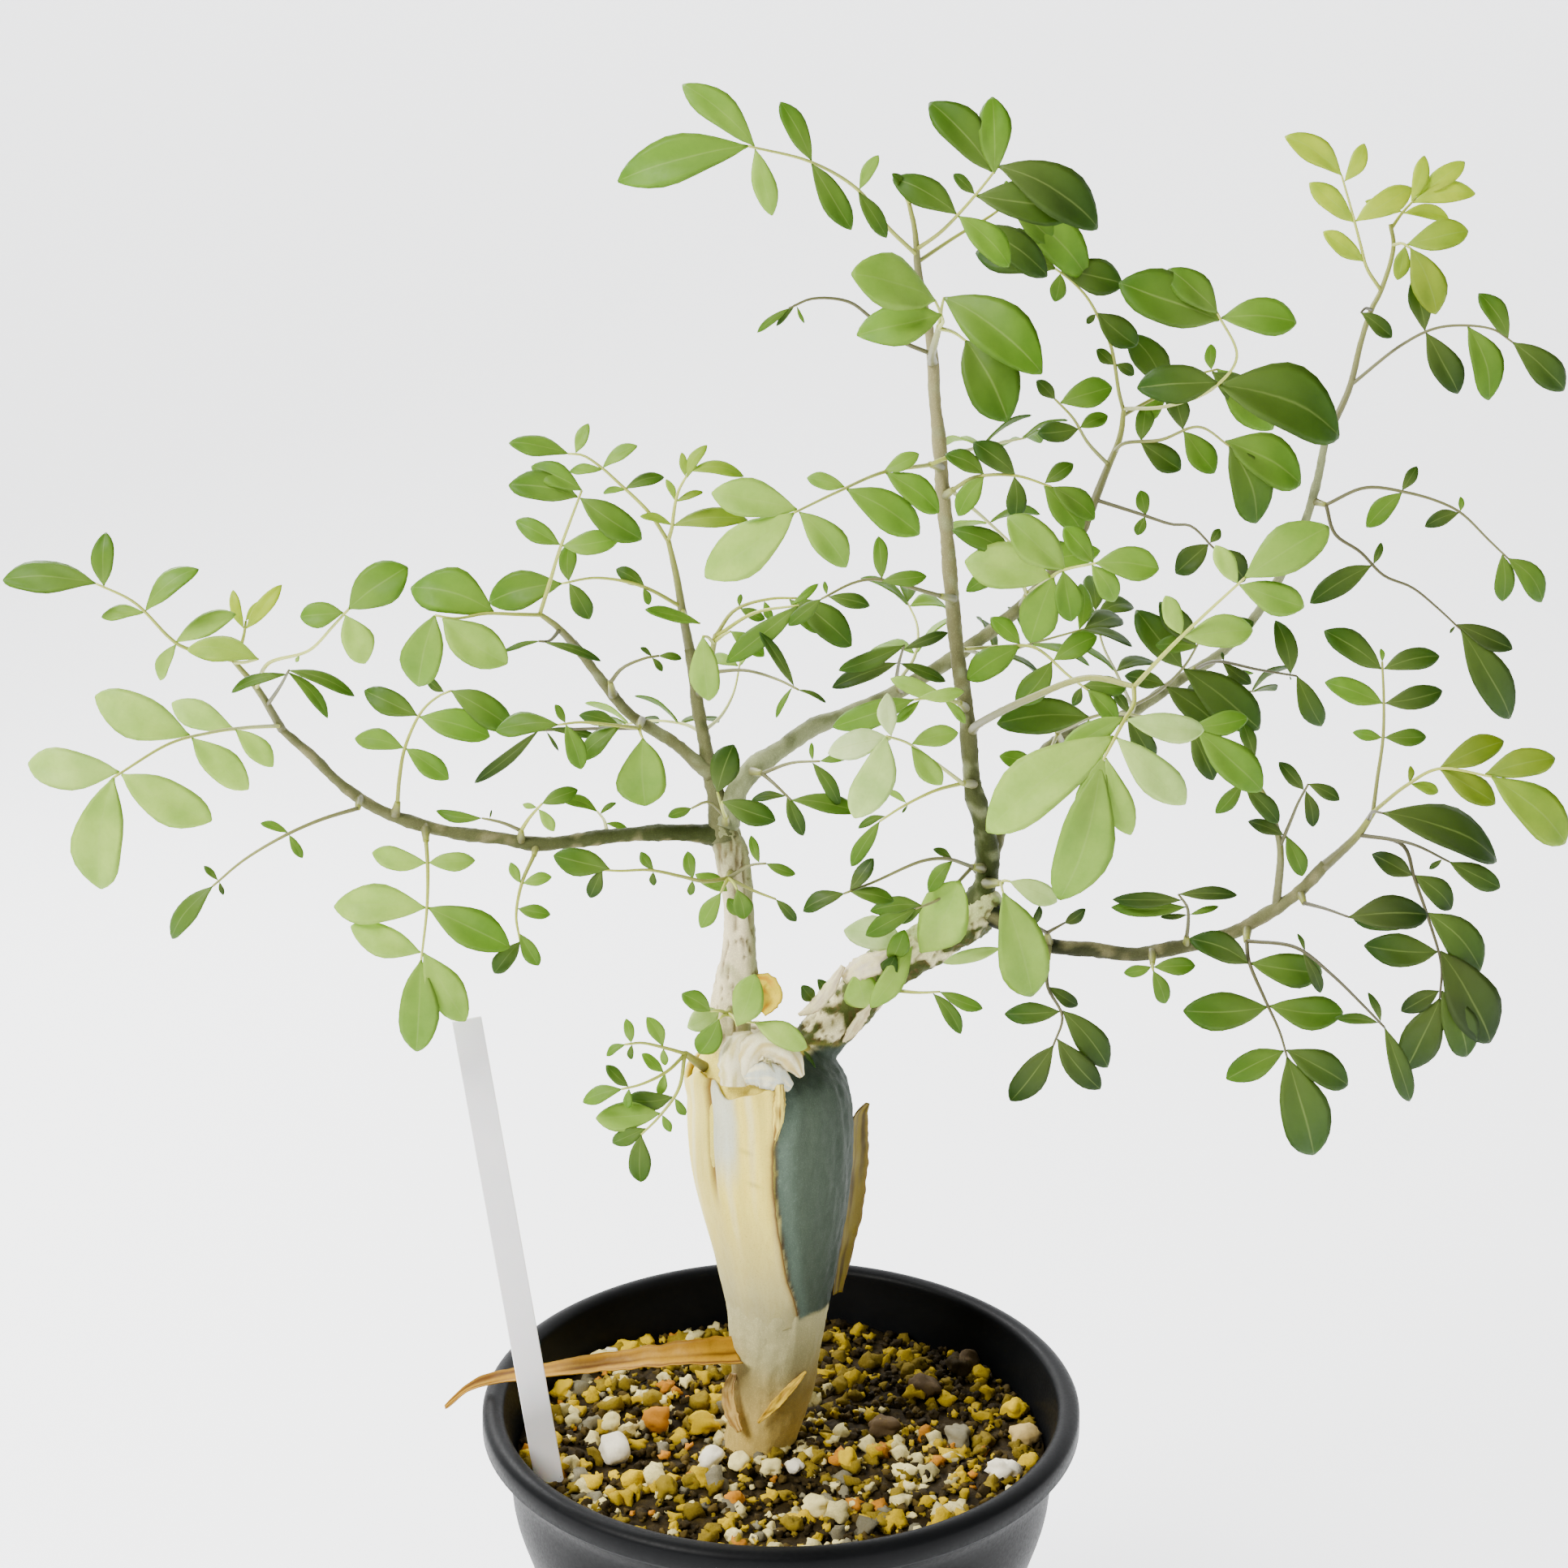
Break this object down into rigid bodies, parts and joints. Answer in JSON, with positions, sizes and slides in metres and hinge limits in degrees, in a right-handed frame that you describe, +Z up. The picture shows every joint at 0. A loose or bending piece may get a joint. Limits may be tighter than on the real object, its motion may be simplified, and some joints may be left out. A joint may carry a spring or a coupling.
{
  "type": "bursera fagaroides bonsai",
  "caption": "Small potted tree with a swollen trunk base, peeling papery bark, long arching branches and pinnate leaves, in a round black plastic pot with a plain plant label.",
  "frame": {"origin": "centre of the pot's flat bottom, which stands on the surface", "axes": "+Z up along the pot's axis, -Y towards the viewer, +X to the viewer's right"},
  "size_m": [0.297, 0.1533, 0.3541],
  "materials": {
    "pot_plastic": "satin black, slightly scuffed at the rim",
    "soil": "damp fines with yellow, brown and cream grit",
    "bark": "grey-beige and green-grey bark with cream peel",
    "papery_bark": "thin, satin, cream to yellow",
    "ochre_bark": "thin dry strips, orange-tan",
    "label_plastic": "smooth white",
    "leaf": "soft satin green, paler below",
    "young_shoot": "soft satin, yellow-green to brown twig and rib"
  },
  "bodies": {
    "root": {"pot": "pot_plastic", "soil": "soil", "wood": "bark", "papery_bark_sheet": "papery_bark", "plant_label": "label_plastic", "bark_curl_left": "ochre_bark", "bark_flap_right": "ochre_bark", "bark_curl_top": "papery_bark", "bark_strip_foot": "ochre_bark", "leaves_left_tip": "leaf", "leaves_left_bough_end_drooping": "leaf", "leaves_left_bough_hanging": "leaf", "leaves_left_bough_small": "leaf", "leaves_left_bough_upright": "leaf", "leaves_upper_left_end": "leaf", "leaves_leader_tip": "leaf", "leaves_upper_left_small": "leaf", "leaves_upper_left_low": "leaf", "leaves_leader_side": "leaf", "leaves_tall_leader_tip": "leaf", "leaves_tall_leader_front": "leaf", "leaves_tall_leader_near": "leaf", "leaves_tall_leader_left": "leaf", "leaves_crossing_tip": "leaf", "leaves_crown_right": "leaf", "leaves_crown_upper": "leaf", "leaves_crown_middle": "leaf", "leaves_crown_far": "leaf", "leaves_crown_low": "leaf", "leaves_crossing_middle": "leaf", "leaves_tall_leader_low_left": "leaf", "leaves_tall_leader_low_front": "leaf", "leaves_low_left_of_tall": "leaf", "leaves_right_trunk_small": "leaf", "leaves_crossing_start": "leaf", "leaves_fork": "leaf", "leaves_left_trunk": "leaf", "leaves_left_bough_top": "leaf", "leaves_left_bough_back": "leaf", "leaves_far_right_tip": "leaf", "leaves_far_right_side": "leaf", "leaves_far_right_low": "leaf", "leaves_right_bough_tip": "leaf", "leaves_right_bough_under": "leaf", "leaves_right_bough_twig": "leaf", "leaves_right_bough_top": "leaf", "leaves_right_bough_bud": "leaf", "leaves_right_bough_hanging": "leaf", "leaves_near_hanging": "leaf", "leaves_tall_leader_foot": "leaf", "leaves_right_bough_lower": "leaf", "leaves_base_shoulder": "leaf", "leaves_base_top": "leaf", "leaves_right_bough_sprout": "leaf", "leaves_leader_back": "leaf"}
  },
  "joints": []
}
